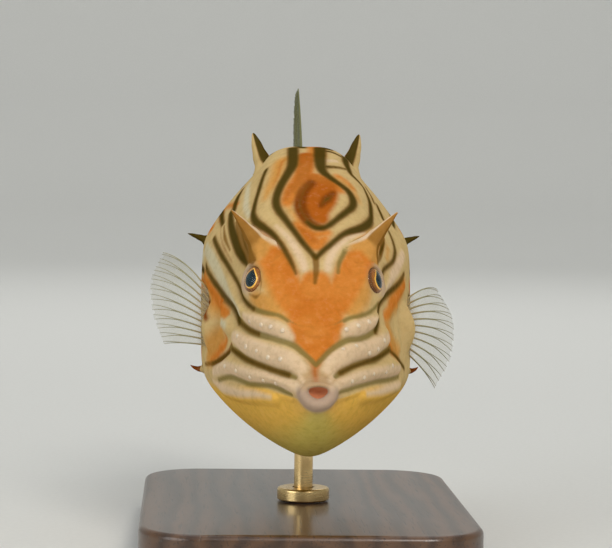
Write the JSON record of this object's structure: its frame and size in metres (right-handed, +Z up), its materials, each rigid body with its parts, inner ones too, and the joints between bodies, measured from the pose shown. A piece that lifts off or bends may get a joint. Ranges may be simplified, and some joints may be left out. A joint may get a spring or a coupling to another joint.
{
  "type": "ornate cowfish model",
  "caption": "Life-size ornate cowfish in swimming pose, a ridged carapace with horns, spines, rayed fins and tail, on a display stand.",
  "frame": {"origin": "middle of the stand base's underside, on the floor", "axes": "+Y from the snout towards the tail, so the fish faces -Y; +Z up through the back; the fish's own left side is at +X"},
  "size_m": [0.062, 0.1261, 0.0872],
  "materials": {
    "skin": "satin, cream and orange skin with dark brown stripes over bony plates",
    "face": "satin, orange face with cream and dark brown bands",
    "lips": "moist, soft pinkish grey",
    "horn": "satin, cream edged with brown",
    "eye": "wet gloss",
    "fin": "thin translucent membrane between pale rays",
    "wood": "dark stained, satin lacquer",
    "brass": "brushed"
  },
  "bodies": {
    "root": {"head": "face", "lips": "lips", "eye_left": "eye", "eye_right": "eye", "horn_left": "horn", "horn_right": "horn", "trunk": "skin", "tail_stalk": "skin", "dorsal_fin": "fin", "anal_fin": "fin", "tail_fin": "fin", "pectoral_fin_left": "fin", "pectoral_fin_right": "fin", "stand_base": "wood", "stand_collar": "brass", "stand_rod": "brass"}
  },
  "joints": []
}
